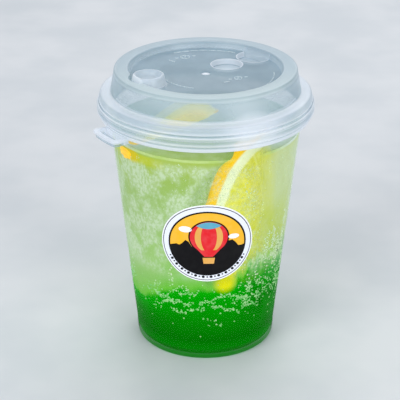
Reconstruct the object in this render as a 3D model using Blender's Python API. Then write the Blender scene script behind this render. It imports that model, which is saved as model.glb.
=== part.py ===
# A take-away cup of layered mojito lemonade: a tapered clear cup with a frosted snap lid,
# green syrup under pale lemonade, two orange slices standing in the drink and a round label.
# Everything is in metres with +Z up. The origin is the middle of the foot, on the table.
import math

import bmesh
import bpy
from mathutils import Matrix, Vector

MM = 0.001
CLEARANCE = 0.3 * MM
TURN_STEPS = 60

# Cup: the wall is a straight cone, and the rolled rim hides under the lid
FOOT_RADIUS = 31.1 * MM
WALL_SLOPE = 0.1036
CUP_WALL = 0.9 * MM
FOOT_FILLET = 1.6 * MM
FOOT_RING_WIDTH = 4.6 * MM
FOOT_RECESS = 0.9 * MM
GATE_PAD_RADIUS = 6.0 * MM
FLOOR_THICKNESS = 1.1 * MM
INNER_CORNER = 3.6 * MM
CUP_HEIGHT = 113.9 * MM
RIM_RADIUS = 45.3 * MM
RIM_ROLL = 1.6 * MM

# Lid: a dome with a sunk top, a shoulder, and a skirt that snaps over the rim
LID_WALL = 0.9 * MM
RIM_ROOM = 1.1 * MM
LID_TOP = 128.4 * MM
RECESS_FLOOR = 125.2 * MM
RECESS_RADIUS = 33.5 * MM
DOME_TOP_RADIUS = 39.7 * MM
DOME_FOOT_RADIUS = 41.4 * MM
SHOULDER_HEIGHT = 118.1 * MM
SHOULDER_RADIUS = 46.3 * MM
GROOVE_RADIUS = 46.0 * MM
GROOVE_HEIGHT = 114.2 * MM
SKIRT_RADIUS = 47.5 * MM
SKIRT_BOTTOM = 109.3 * MM
LIP_RADIUS = 45.8 * MM
LIP_BOTTOM = 107.2 * MM
PLUG_BOTTOM = 110.6 * MM

# Drinking spout, its two wells and the moulding gate, all in the sunk top of the lid
SPOUT_PLACE = Vector((-24.3, -13.6, 0.0)) * MM
SPOUT_TOP_RADIUS = 6.6 * MM
SPOUT_FOOT_RADIUS = 7.6 * MM
SPOUT_TOP = 129.7 * MM
SPOUT_WALL = 0.9 * MM
SPOUT_DISH_DEPTH = 3.1 * MM
WELLS = (
    ("middle_well", Vector((9.3, 11.5, 0.0)) * MM, 6.7 * MM),
    ("edge_well", Vector((21.4, 21.4, 0.0)) * MM, 7.3 * MM),
)
WELL_STEPS = 24
WELL_DEPTH = 2.6 * MM
GATE_RADIUS = 2.6 * MM
GATE_DEPTH = 0.5 * MM

# Pull tab: a shallow tray that stands out from the lip at the front left
TAB_DIRECTION = math.radians(215.0)
TAB_HALF_ANGLE = math.radians(10.2)
TAB_REACH = 53.3 * MM
TAB_ROOT = 45.2 * MM
TAB_CORNER = 4.2 * MM
TAB_BOTTOM = 105.4 * MM
TAB_TOP = 108.4 * MM
TAB_WALL = 1.0 * MM

# Drink: two layers, filled to just under the rim, with a small meniscus at the wall
SYRUP_TOP = 36.6 * MM
DRINK_TOP = 100.9 * MM
MENISCUS = 0.8 * MM

# Slices: discs bent a little about their upright axis, standing in the drink
SLICE_THICKNESS = 5.0 * MM
PEEL_WIDTH = 3.2 * MM
PITH_WIDTH = 4.6 * MM
CORE_RADIUS = 3.0 * MM
SLICE_STEPS = 32
SEGMENT_COUNT = 8
SEGMENT_SAG = 0.35 * MM
RIGHT_SLICE = {
    "radius": 35.3 * MM,
    "bend": 44.0 * MM,
    "facing": math.radians(-26.0),
    "out": 26.2 * MM,
    "sideways": 0.0,
    "height": 67.5 * MM,
    "lean": math.radians(-4.0),
}
LEFT_SLICE = {
    "radius": 30.0 * MM,
    "bend": 150.0 * MM,
    "facing": math.radians(-42.0),
    "out": -10.0 * MM,
    "sideways": -5.0 * MM,
    "height": 83.0 * MM,
    "lean": math.radians(12.0),
}

# Label: a thin round sticker that follows the cone
LABEL_RADIUS = 19.3 * MM
LABEL_THICKNESS = 0.25 * MM
LABEL_HEIGHT = 61.6 * MM
LABEL_DIRECTION = math.radians(-89.0)
LABEL_STEPS = 32


def clear_scene():
    for obj in list(bpy.data.objects):
        bpy.data.objects.remove(obj, do_unlink=True)


def plastic_or_food(name, color, roughness, transmission=0.0):
    """A Principled material with the part's own colour."""
    mat = bpy.data.materials.new(name)
    mat.use_nodes = True
    shader = mat.node_tree.nodes["Principled BSDF"]
    shader.inputs["Base Color"].default_value = (*color, 1.0)
    shader.inputs["Roughness"].default_value = roughness
    shader.inputs["Metallic"].default_value = 0.0
    shader.inputs["Transmission Weight"].default_value = transmission
    mat.diffuse_color = (*color, 1.0)
    return mat


def arc(center, radius, start, end, steps):
    """Points on an arc in a plane, such as (r, z), with angles in degrees from its first axis."""
    points = []
    for i in range(steps + 1):
        angle = math.radians(start + (end - start) * i / steps)
        points.append((center[0] + radius * math.cos(angle), center[1] + radius * math.sin(angle)))
    return points


def finish_mesh(bm, name, mat):
    """Makes a closed, outward-facing mesh object from a bmesh."""
    bmesh.ops.remove_doubles(bm, verts=bm.verts, dist=1e-7)
    bmesh.ops.recalc_face_normals(bm, faces=bm.faces)
    mesh = bpy.data.meshes.new(name)
    bm.to_mesh(mesh)
    bm.free()
    mesh.shade_smooth()
    mesh.set_sharp_from_angle(angle=math.radians(35))
    obj = bpy.data.objects.new(name, mesh)
    bpy.context.scene.collection.objects.link(obj)
    if mat:
        mesh.materials.append(mat)
    return obj


def turned_bmesh(profile, steps):
    """Spins an (r, z) profile, whose ends lie on the axis, a full turn about Z."""
    bm = bmesh.new()
    points = [bm.verts.new((r, 0.0, z)) for r, z in profile]
    edges = [bm.edges.new(pair) for pair in zip(points, points[1:])]
    bmesh.ops.spin(
        bm,
        geom=points + edges,
        cent=(0.0, 0.0, 0.0),
        axis=(0.0, 0.0, 1.0),
        angle=math.tau,
        steps=steps,
        use_merge=True,
    )
    return bm


def turned(name, profile, mat=None, steps=TURN_STEPS, place=None):
    obj = finish_mesh(turned_bmesh(profile, steps), name, mat)
    if place:
        obj.location = place
    return obj


def as_helper(obj):
    """Keeps a cutter or a joined-on shape out of the finished part."""
    obj.hide_render = True
    obj.display_type = "WIRE"
    return obj


def boolean(target, helper, operation):
    modifier = target.modifiers.new(f"{operation.lower()} {helper.name}", "BOOLEAN")
    modifier.object = as_helper(helper)
    modifier.operation = operation
    modifier.solver = "EXACT"


def cup_outer(z):
    return FOOT_RADIUS + WALL_SLOPE * z


def cup_inner(z):
    return cup_outer(z) - CUP_WALL


def cup_profile():
    """Underside, outer wall, rolled rim, inner wall and floor, from axis to axis."""
    foot_corner = FOOT_RADIUS - FOOT_FILLET
    ring_inside = foot_corner - FOOT_RING_WIDTH
    underside = [
        (0.0, 0.0),
        (GATE_PAD_RADIUS, 0.0),
        (GATE_PAD_RADIUS + FOOT_RECESS, FOOT_RECESS),
        (ring_inside - FOOT_RECESS, FOOT_RECESS),
        (ring_inside, 0.0),
    ]
    heel = arc((foot_corner, FOOT_FILLET), FOOT_FILLET, -90, 0, 3)
    wall_top = CUP_HEIGHT - 2 * RIM_ROLL
    roll = arc((RIM_RADIUS - RIM_ROLL, CUP_HEIGHT - RIM_ROLL), RIM_ROLL, -70, 90, 5)
    mouth = cup_inner(CUP_HEIGHT)
    inside_top = [(mouth + CUP_WALL, CUP_HEIGHT), (mouth, CUP_HEIGHT - CUP_WALL)]
    floor_z = FLOOR_THICKNESS + FOOT_RECESS
    corner_z = floor_z + INNER_CORNER
    corner = arc((cup_inner(corner_z) - INNER_CORNER, corner_z), INNER_CORNER, 0, -90, 4)
    outside = underside + heel + [(cup_outer(wall_top), wall_top)] + roll
    return outside + inside_top + corner + [(0.0, floor_z)]


def lid_profile():
    """Sunk top, rim, dome wall, shoulder and skirt outside, then the thin inner side."""
    rim_middle = (RECESS_RADIUS + DOME_TOP_RADIUS) / 2
    outside = [
        (0.0, RECESS_FLOOR),
        (RECESS_RADIUS - 1.2 * MM, RECESS_FLOOR),
        (RECESS_RADIUS - 0.4 * MM, RECESS_FLOOR + 0.5 * MM),
        (RECESS_RADIUS, LID_TOP - 0.6 * MM),
        (RECESS_RADIUS + 0.6 * MM, LID_TOP - 0.1 * MM),
        (rim_middle, LID_TOP + 0.2 * MM),
        (DOME_TOP_RADIUS - 0.7 * MM, LID_TOP - 0.1 * MM),
        (DOME_TOP_RADIUS, LID_TOP - 0.9 * MM),
        (DOME_FOOT_RADIUS, SHOULDER_HEIGHT + 0.8 * MM),
        (DOME_FOOT_RADIUS + 0.8 * MM, SHOULDER_HEIGHT),
        (SHOULDER_RADIUS - 1.4 * MM, SHOULDER_HEIGHT - 0.1 * MM),
        (SHOULDER_RADIUS - 0.3 * MM, SHOULDER_HEIGHT - 0.9 * MM),
        (SHOULDER_RADIUS, SHOULDER_HEIGHT - 2.2 * MM),
        (GROOVE_RADIUS, GROOVE_HEIGHT),
        (SKIRT_RADIUS - 0.6 * MM, GROOVE_HEIGHT - 1.0 * MM),
        (SKIRT_RADIUS, GROOVE_HEIGHT - 2.3 * MM),
        (SKIRT_RADIUS, SKIRT_BOTTOM + 1.0 * MM),
        (SKIRT_RADIUS - 0.4 * MM, SKIRT_BOTTOM),
        (LIP_RADIUS, SKIRT_BOTTOM - 0.5 * MM),
        (LIP_RADIUS - 0.2 * MM, LIP_BOTTOM),
    ]
    plug_outside = cup_inner(PLUG_BOTTOM) - 2 * CLEARANCE
    inside = [
        (LIP_RADIUS - 1.2 * MM, LIP_BOTTOM),
        (LIP_RADIUS - 1.2 * MM, SKIRT_BOTTOM - 0.2 * MM),
        (RIM_RADIUS + RIM_ROOM, SKIRT_BOTTOM + 1.3 * MM),
        (RIM_RADIUS + RIM_ROOM, GROOVE_HEIGHT - 1.4 * MM),
        (RIM_RADIUS - 0.1 * MM, GROOVE_HEIGHT + 0.2 * MM),
        (SHOULDER_RADIUS - 1.4 * MM, SHOULDER_HEIGHT - 1.3 * MM),
        (plug_outside + 0.3 * MM, SHOULDER_HEIGHT - 1.3 * MM),
        (plug_outside, PLUG_BOTTOM + 1.0 * MM),
        (plug_outside - LID_WALL, PLUG_BOTTOM),
        (plug_outside - LID_WALL, SHOULDER_HEIGHT - 1.0 * MM),
        (DOME_TOP_RADIUS - LID_WALL, LID_TOP - 1.6 * MM),
        (DOME_TOP_RADIUS - 1.7 * MM, LID_TOP - LID_WALL),
        (RECESS_RADIUS + 1.6 * MM, LID_TOP - LID_WALL),
        (RECESS_RADIUS + LID_WALL, LID_TOP - 1.6 * MM),
        (RECESS_RADIUS + 0.2 * MM, RECESS_FLOOR - LID_WALL),
        (0.0, RECESS_FLOOR - LID_WALL),
    ]
    return outside + inside


def add_spout(lid):
    """A raised round spout whose closed end is a dish."""
    foot = RECESS_FLOOR - LID_WALL / 2
    body = turned(
        "spout_body",
        [
            (0.0, foot),
            (SPOUT_FOOT_RADIUS, foot),
            (SPOUT_TOP_RADIUS, SPOUT_TOP - 0.5 * MM),
            (SPOUT_TOP_RADIUS - 0.4 * MM, SPOUT_TOP),
            (0.0, SPOUT_TOP),
        ],
        steps=WELL_STEPS,
        place=SPOUT_PLACE,
    )
    boolean(lid, body, "UNION")
    inner = SPOUT_TOP_RADIUS - SPOUT_WALL
    dish_floor = SPOUT_TOP - SPOUT_DISH_DEPTH
    dish = turned(
        "spout_dish",
        [
            (0.0, dish_floor),
            (inner - 2.2 * MM, dish_floor + 0.2 * MM),
            (inner - 0.6 * MM, dish_floor + 1.1 * MM),
            (inner, SPOUT_TOP - 0.4 * MM),
            (inner + 0.1 * MM, SPOUT_TOP + 2 * MM),
            (0.0, SPOUT_TOP + 2 * MM),
        ],
        steps=WELL_STEPS,
        place=SPOUT_PLACE,
    )
    boolean(lid, dish, "DIFFERENCE")


def fill_ridge(lid, name, place, radius):
    """Closes the hollow ridge round a well that runs into it, so that the well keeps its wall."""
    reach = radius + 1.2 * LID_WALL
    low = RECESS_FLOOR - 1.5 * LID_WALL
    plug = turned(
        f"{name}_ridge",
        [(0.0, low), (reach, low), (reach, LID_TOP - 0.3 * MM), (0.0, LID_TOP - 0.3 * MM)],
        steps=WELL_STEPS,
        place=place,
    )
    inside = RECESS_RADIUS + LID_WALL / 2
    keep_out = turned(
        f"{name}_ridge_limit",
        [(0.0, low - MM), (inside, low - MM), (inside, LID_TOP + MM), (0.0, LID_TOP + MM)],
    )
    boolean(plug, keep_out, "DIFFERENCE")
    boolean(lid, plug, "UNION")


def add_well(lid, name, place, radius):
    """A round well: a cup under the sunk floor, hollowed from above."""
    if place.length + radius > RECESS_RADIUS:
        fill_ridge(lid, name, place, radius)
    floor = RECESS_FLOOR - WELL_DEPTH
    shell = turned(
        f"{name}_shell",
        [
            (0.0, floor - LID_WALL),
            (radius, floor - LID_WALL),
            (radius + LID_WALL, floor + 0.4 * MM),
            (radius + LID_WALL, RECESS_FLOOR - 0.3 * MM),
            (0.0, RECESS_FLOOR - 0.3 * MM),
        ],
        steps=WELL_STEPS,
        place=place,
    )
    boolean(lid, shell, "UNION")
    hollow = turned(
        f"{name}_hollow",
        [
            (0.0, floor),
            (radius - 0.9 * MM, floor),
            (radius, floor + 0.7 * MM),
            (radius, RECESS_FLOOR - 0.4 * MM),
            (radius + 0.6 * MM, RECESS_FLOOR + 0.3 * MM),
            (radius + 0.6 * MM, LID_TOP + MM),
            (0.0, LID_TOP + MM),
        ],
        steps=WELL_STEPS,
        place=place,
    )
    boolean(lid, hollow, "DIFFERENCE")


def add_gate(lid):
    """The shallow dimple with a nub that moulding leaves in the middle."""
    dimple = turned(
        "gate_dimple",
        [
            (0.0, RECESS_FLOOR - 0.1 * MM),
            (0.7 * MM, RECESS_FLOOR - 0.1 * MM),
            (1.1 * MM, RECESS_FLOOR - GATE_DEPTH),
            (GATE_RADIUS - 0.6 * MM, RECESS_FLOOR - GATE_DEPTH),
            (GATE_RADIUS, RECESS_FLOOR + MM),
            (0.0, RECESS_FLOOR + MM),
        ],
        steps=16,
    )
    boolean(lid, dimple, "DIFFERENCE")


def tab_block(name, inset, bottom, top):
    """A ring sector with round outer corners, from the lip outwards."""
    inner = TAB_ROOT
    outer = TAB_REACH - inset
    half = TAB_HALF_ANGLE - inset / TAB_REACH
    corner = TAB_CORNER - inset
    corner_turn = corner / outer
    outline = []
    for side in (-1, 1):
        middle = Vector((outer - corner, 0.0))
        turn = Matrix.Rotation(side * (half - corner_turn), 2)
        start = -90 if side < 0 else 0
        outline += [turn @ Vector(point) for point in arc(middle, corner, start, start + 90, 3)]
    ends = [Matrix.Rotation(side * half, 2) @ Vector((inner, 0.0)) for side in (1, -1)]
    bm = bmesh.new()
    face = bm.faces.new([bm.verts.new((p.x, p.y, bottom)) for p in outline + ends])
    raised = bmesh.ops.extrude_face_region(bm, geom=[face])
    moved = [item for item in raised["geom"] if isinstance(item, bmesh.types.BMVert)]
    bmesh.ops.translate(bm, verts=moved, vec=(0.0, 0.0, top - bottom))
    obj = finish_mesh(bm, name, None)
    obj.rotation_euler = (0.0, 0.0, TAB_DIRECTION)
    return obj


def add_tab(lid):
    boolean(lid, tab_block("tab_body", 0.0, TAB_BOTTOM, TAB_TOP), "UNION")
    pocket = tab_block("tab_pocket", TAB_WALL, TAB_BOTTOM + TAB_WALL, TAB_TOP + MM)
    reach = LIP_RADIUS + TAB_WALL
    keep = turned(
        "tab_pocket_limit",
        [(0.0, TAB_BOTTOM), (reach, TAB_BOTTOM), (reach, TAB_TOP + 2 * MM), (0.0, TAB_TOP + 2 * MM)],
    )
    boolean(pocket, keep, "DIFFERENCE")
    boolean(lid, pocket, "DIFFERENCE")


def slice_profile(radius, thickness, grow):
    """Half section of a slice through core, flesh, pith and rounded peel."""
    half = thickness / 2 + grow
    full = radius + grow
    flesh = radius - PEEL_WIDTH - PITH_WIDTH
    reaches = (0.0, CORE_RADIUS, 0.6 * flesh, flesh, radius - PEEL_WIDTH)
    upper = [(r, half) for r in reaches]
    upper += arc((full - half, 0.0), half, 60, 20, 2)
    lower = [(r, -z) for r, z in reversed(upper)]
    return upper + [(full, 0.0)] + lower


def place_on_curve(point, spec):
    """Moves a point of a flat slice onto the slice's bent, leaning place in the cup."""
    side = point.x
    rise = point.y
    depth = point.z
    angle = side / spec["bend"]
    out = spec["out"] + (spec["bend"] + depth) * math.cos(angle) - spec["bend"]
    out += math.tan(spec["lean"]) * rise
    across = (spec["bend"] + depth) * math.sin(angle) + spec["sideways"]
    outward = Vector((math.cos(spec["facing"]), math.sin(spec["facing"]), 0.0))
    sideways = Vector((-outward.y, outward.x, 0.0))
    return outward * out + sideways * across + Vector((0.0, 0.0, spec["height"] + rise))


def slice_mesh(name, spec, mat=None, grow=0.0):
    bm = turned_bmesh(slice_profile(spec["radius"], SLICE_THICKNESS, grow), SLICE_STEPS)
    bmesh.ops.remove_doubles(bm, verts=bm.verts, dist=1e-7)
    flesh = spec["radius"] - PEEL_WIDTH - PITH_WIDTH
    for vert in bm.verts:
        reach = math.hypot(vert.co.x, vert.co.y)
        if not grow and 1.5 * CORE_RADIUS < reach < 1.01 * flesh:
            wave = 0.5 - 0.5 * math.cos(SEGMENT_COUNT * math.atan2(vert.co.y, vert.co.x))
            vert.co.z -= math.copysign(SEGMENT_SAG * wave, vert.co.z)
        vert.co = place_on_curve(vert.co.copy(), spec)
    return finish_mesh(bm, name, mat)


def drink_wall(z):
    return cup_inner(z) - CLEARANCE


def syrup_profile():
    floor_z = FLOOR_THICKNESS + FOOT_RECESS + CLEARANCE
    corner_z = floor_z + INNER_CORNER
    corner = arc((drink_wall(corner_z) - INNER_CORNER, corner_z), INNER_CORNER, -90, 0, 4)
    top = SYRUP_TOP - CLEARANCE
    return [(0.0, floor_z)] + corner + [(drink_wall(top), top), (0.0, top)]


def lemonade_profile():
    wall = drink_wall(DRINK_TOP)
    return [
        (0.0, SYRUP_TOP),
        (drink_wall(SYRUP_TOP), SYRUP_TOP),
        (drink_wall(DRINK_TOP + MENISCUS), DRINK_TOP + MENISCUS),
        (wall - 0.5 * MM, DRINK_TOP + 0.35 * MENISCUS),
        (wall - 2.0 * MM, DRINK_TOP),
        (0.0, DRINK_TOP),
    ]


def cut_slices(drink):
    """Leaves room in a layer of the drink round both slices."""
    for side, spec in (("right", RIGHT_SLICE), ("left", LEFT_SLICE)):
        boolean(drink, slice_mesh(f"{drink.name}_{side}_room", spec, grow=CLEARANCE), "DIFFERENCE")


def label_mesh(name, mat):
    """A disc wrapped on the cone, a hair in front of the wall."""
    rings = [share * LABEL_RADIUS for share in (0.0, 0.45, 0.8, 1.0)]
    profile = [(r, LABEL_THICKNESS) for r in rings] + [(r, 0.0) for r in reversed(rings)]
    bm = turned_bmesh(profile, LABEL_STEPS)
    bmesh.ops.remove_doubles(bm, verts=bm.verts, dist=1e-7)
    tilt = math.atan(WALL_SLOPE)
    for vert in bm.verts:
        z = LABEL_HEIGHT + vert.co.y * math.cos(tilt)
        angle = LABEL_DIRECTION + vert.co.x / cup_outer(z)
        radius = cup_outer(z) + CLEARANCE + vert.co.z
        vert.co = (radius * math.cos(angle), radius * math.sin(angle), z)
    return finish_mesh(bm, name, mat)


def main():
    clear_scene()
    clear_plastic = plastic_or_food("clear_plastic", (0.86, 0.92, 0.88), 0.12, 0.9)
    frosted_plastic = plastic_or_food("frosted_plastic", (0.62, 0.70, 0.74), 0.35, 0.4)
    green_syrup = plastic_or_food("green_syrup", (0.0, 0.27, 0.0), 0.15)
    pale_lemonade = plastic_or_food("pale_lemonade", (0.42, 0.62, 0.25), 0.15)
    orange_flesh = plastic_or_food("orange_slice", (0.78, 0.66, 0.10), 0.4)
    label_print = plastic_or_food("label_print", (0.75, 0.78, 0.82), 0.4)

    turned("cup", cup_profile(), clear_plastic)
    lid = turned("lid", lid_profile(), frosted_plastic)
    add_spout(lid)
    for name, place, radius in WELLS:
        add_well(lid, name, place, radius)
    add_gate(lid)
    add_tab(lid)
    cut_slices(turned("syrup", syrup_profile(), green_syrup))
    cut_slices(turned("lemonade", lemonade_profile(), pale_lemonade))
    slice_mesh("slice_right", RIGHT_SLICE, orange_flesh)
    slice_mesh("slice_left", LEFT_SLICE, orange_flesh)
    label_mesh("label", label_print)


main()
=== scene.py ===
import math
import random

import bmesh
import bpy
from mathutils import Matrix, Vector, noise


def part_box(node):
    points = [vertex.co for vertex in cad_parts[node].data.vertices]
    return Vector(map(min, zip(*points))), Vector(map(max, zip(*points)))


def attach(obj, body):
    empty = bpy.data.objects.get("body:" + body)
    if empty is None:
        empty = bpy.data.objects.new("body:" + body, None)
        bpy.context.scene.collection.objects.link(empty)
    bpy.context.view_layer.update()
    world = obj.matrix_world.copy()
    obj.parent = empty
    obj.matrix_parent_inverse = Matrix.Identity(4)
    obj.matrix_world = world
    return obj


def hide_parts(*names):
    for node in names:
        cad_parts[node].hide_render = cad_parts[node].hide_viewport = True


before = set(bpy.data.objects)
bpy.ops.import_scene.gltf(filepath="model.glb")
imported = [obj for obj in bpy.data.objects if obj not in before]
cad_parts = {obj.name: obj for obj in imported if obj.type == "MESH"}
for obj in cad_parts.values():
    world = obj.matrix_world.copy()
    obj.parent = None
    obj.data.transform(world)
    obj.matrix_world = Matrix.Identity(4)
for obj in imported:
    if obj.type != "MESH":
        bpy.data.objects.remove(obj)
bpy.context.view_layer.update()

mm = 0.001
upward = (0.0, 0.0, 1.0)

# A take-away cup of layered lemonade. The viewer of the label looks along +Y.
# Places on the round wall are given as an angle from +X and a height.


# Sums on node sockets

class Wire:  # a node's output that can take part in sums
    def __init__(self, finish, socket):
        self.finish = finish
        self.socket = socket

    def calc(self, operation, *rest):
        return self.finish.node("Math", {"operation": operation}, dict(enumerate((self, *rest))))

    def __add__(self, other):
        return self.calc("ADD", other)

    def __sub__(self, other):
        return self.calc("SUBTRACT", other)

    def __mul__(self, other):
        return self.calc("MULTIPLY", other)

    def __truediv__(self, other):
        return self.calc("DIVIDE", other)

    def __pow__(self, other):
        return self.calc("POWER", other)

    def __rsub__(self, other):
        return self.finish.node("Math", {"operation": "SUBTRACT"}, {0: other, 1: self})

    __radd__ = __add__
    __rmul__ = __mul__

    def rise(self, low, high):  # 0 under low, 1 over high, eased between
        settings = {"interpolation_type": "SMOOTHSTEP"}
        return self.finish.node("MapRange", settings, {"Value": self, "From Min": low, "From Max": high})

    def most(self, other):
        return self.calc("MAXIMUM", other)

    def least(self, other):
        return self.calc("MINIMUM", other)


class Finish:  # one procedural material
    def __init__(self, name):
        self.material = bpy.data.materials.new(name)
        self.material.use_nodes = True
        self.tree = self.material.node_tree
        self.tree.nodes.clear()

    def node(self, kind, settings=None, sockets=None, output=0):
        made = self.tree.nodes.new("ShaderNode" + kind)
        for key, value in (settings or {}).items():
            if key == "stops":
                self.setStops(made.color_ramp, value)
            else:
                setattr(made, key, value)
        for key, value in (sockets or {}).items():
            if isinstance(value, Wire):
                self.tree.links.new(value.socket, made.inputs[key])
            elif isinstance(value, tuple) and made.inputs[key].type == "RGBA":
                made.inputs[key].default_value = (*value, 1.0)
            else:
                made.inputs[key].default_value = value
        return Wire(self, made.outputs[output])

    def setStops(self, ramp, stops):
        while len(ramp.elements) < len(stops):
            ramp.elements.new(0.5)
        for element, (place, colour) in zip(ramp.elements, stops):
            element.position = place
            element.color = (*colour, 1.0)

    def point(self, stretch=(1.0, 1.0, 1.0)):  # the piece's own coordinates, in millimetres
        scale = tuple(1000 * s for s in stretch)
        source = self.node("TexCoord", output="Object")
        return self.node("Mapping", {"vector_type": "POINT"}, {"Vector": source, "Scale": scale})

    def axis(self, vector, name):
        return self.node("SeparateXYZ", sockets={0: vector}, output=name)

    def cloud(self, vector, size, detail=3.0, roughness=0.5):  # noise with lumps of about that size
        sockets = {"Vector": vector, "Scale": 1 / size, "Detail": detail, "Roughness": roughness}
        return self.node("TexNoise", sockets=sockets)

    def blend(self, factor, first, second):
        return self.node("Mix", {"data_type": "RGBA"}, {0: factor, 6: first, 7: second}, output=2)

    def bump(self, height, depth, strength=1.0):
        return self.node("Bump", sockets={"Height": height, "Distance": depth, "Strength": strength})

    def principled(self, **named):
        sockets = {key.replace("_", " "): value for key, value in named.items()}
        return self.node("BsdfPrincipled", sockets=sockets)

    def layer(self, factor, under, over):
        return self.node("MixShader", sockets={0: factor, 1: under, 2: over})

    def edge(self):  # 0 where the surface faces the viewer, 1 where it turns away
        return self.node("LayerWeight", sockets={"Blend": 0.5}, output="Facing")

    def near(self, point, place, inside, outside):  # 1 at a place in millimetres, 0 away from it
        distance = self.node("VectorMath", {"operation": "DISTANCE"}, {0: point, 1: place}, output="Value")
        return 1 - distance.rise(inside, outside)

    def shine(self, inner, roughness, head, rim, **sockets):  # gloss over a shader, stronger at the edges
        gloss = self.node("BsdfGlossy", sockets={"Roughness": roughness, "Color": (1.0, 1.0, 1.0), **sockets})
        return self.layer(self.edge() ** 5 * rim + head, inner, gloss)

    def close(self, shader):
        made = self.tree.nodes.new("ShaderNodeOutputMaterial")
        self.tree.links.new(shader.socket, made.inputs["Surface"])
        return self.material


def tint(red, green, blue):  # a screen colour, 0 to 255, as linear light
    values = []
    for part in (red, green, blue):
        share = part / 255
        values.append(share / 12.92 if share <= 0.04045 else ((share + 0.055) / 1.055) ** 2.4)
    return tuple(values)


# Shaping helpers

def turn(corners, steps):
    # spins a profile of (radius, height, rounding) corners about Z and closes it
    bm = bmesh.new()
    points = [bm.verts.new((radius, 0.0, height)) for radius, height, _ in corners]
    for pair in zip(points, points[1:]):
        bm.edges.new(pair)
    for reach in sorted({corner[2] for corner in corners} - {0}):
        chosen = [point for point, corner in zip(points, corners) if corner[2] == reach]
        bmesh.ops.bevel(
            bm, geom=chosen, offset=reach, offset_type="OFFSET", segments=3,
            profile=0.5, affect="VERTICES", material=-1, clamp_overlap=True,
        )
    bmesh.ops.spin(
        bm, geom=bm.verts[:] + bm.edges[:], cent=(0.0, 0.0, 0.0), axis=upward,
        angle=math.tau, steps=steps, use_merge=True,
    )
    bmesh.ops.remove_doubles(bm, verts=bm.verts, dist=1e-6)
    bmesh.ops.recalc_face_normals(bm, faces=bm.faces)
    return bm


def keep(bm, name, *materials, sharp=40):
    # turns a bmesh into an object of the scene with its place in the mesh
    mesh = bpy.data.meshes.new(name)
    bm.to_mesh(mesh)
    bm.free()
    mesh.shade_smooth()
    mesh.set_sharp_from_angle(angle=math.radians(sharp))
    for material in materials:
        mesh.materials.append(material)
    piece = bpy.data.objects.new(name, mesh)
    bpy.context.scene.collection.objects.link(piece)
    return piece


def extrude(bm, face, rise):
    # extrudes a flat face upwards and gives its new vertices
    raised = bmesh.ops.extrude_face_region(bm, geom=[face])["geom"]
    lifted = [item for item in raised if isinstance(item, bmesh.types.BMVert)]
    bmesh.ops.translate(bm, verts=lifted, vec=(0.0, 0.0, rise))
    return lifted


def join(target, bm, operation):
    # a Boolean with a helper that is gone afterwards
    helper = keep(bm, "helper")
    modifier = target.modifiers.new("join", "BOOLEAN")
    modifier.object = helper
    modifier.operation = operation
    modifier.solver = "EXACT"
    graph = bpy.context.evaluated_depsgraph_get()
    made = bpy.data.meshes.new_from_object(target.evaluated_get(graph))
    target.modifiers.clear()
    old = target.data
    target.data = made
    made.name = target.name
    bpy.data.meshes.remove(old)
    bpy.data.objects.remove(helper)


# The cup's wall, which the drink, the bubbles and the label follow

cup = {
    "footRadius": 31.1 * mm,
    "slope": 0.1036,
    "wall": 0.9 * mm,
    "foot": 1.6 * mm,
    "ring": 4.6 * mm,
    "recess": 0.9 * mm,
    "gatePad": 6.0 * mm,
    "floor": 1.1 * mm,
    "corner": 3.6 * mm,
    "rim": 1.6 * mm,
    "rimRadius": 45.3 * mm,
    "steps": 160,
    "wetColour": (206, 226, 204),
    "syrupTint": (4, 116, 4),
    # the foot's highlight tint and band paint a thin bright highlight along the cup's bottom edge
    "footHighlightTint": (148, 216, 164),
    "footHighlightBand": (0.2, 0.7),  # the bands fade over these heights in millimetres
    "milkyBand": (2.0, 6.5),
    "greenBand": (7.0, 9.0),
    "upperBand": (34.0, 52.0),
    "footMilk": 0.92,
    "glossRoughness": 0.12,
    "glossHead": 0.003,
    "glossRim": 0.12,
}
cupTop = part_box("cup")[1].z


def outerWall(height):
    return cup["footRadius"] + cup["slope"] * height


def innerWall(height):
    return outerWall(height) - cup["wall"]


def onWall(angle, height, lift=0.0):
    reach = innerWall(height) + lift
    return Vector((reach * math.cos(angle), reach * math.sin(angle), height))


def clearPlastic():
    # thin clear plastic: milky at the foot and where it is seen along the wall, with soft reflections
    finish = Finish("clearPlastic")
    streaks = finish.cloud(finish.point((1.0, 1.0, 0.25)), 9.0, 2.0)
    height = finish.axis(finish.point(), "Z")
    # painted highlight: the lowest fraction of a millimetre turns pale and bright
    foot = 1 - height.rise(*cup["footHighlightBand"])
    low = 1 - height.rise(*cup["milkyBand"])
    green = 1 - height.rise(*cup["greenBand"])
    upper = height.rise(*cup["upperBand"])
    see = finish.node("BsdfTransparent", sockets={"Color": (0.985, 0.995, 0.98)})
    colour = finish.blend(green, tint(*cup["wetColour"]), tint(*cup["syrupTint"]))
    colour = finish.blend(foot, colour, tint(*cup["footHighlightTint"]))
    # painted glow: the milky plastic gives off a little light of its own, which lifts the foot and the syrup
    # behind it
    milk = finish.principled(
        Base_Color=colour, Roughness=0.3, Specular_IOR_Level=0.1,
        Emission_Color=colour, Emission_Strength=0.2,
    )
    misty = (finish.edge() ** 4 * 0.35 + streaks.rise(0.35, 0.8) * 0.012) * upper
    body = finish.layer(misty + low * cup["footMilk"], see, milk)
    return finish.close(finish.shine(body, cup["glossRoughness"], cup["glossHead"], cup["glossRim"]))


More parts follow.
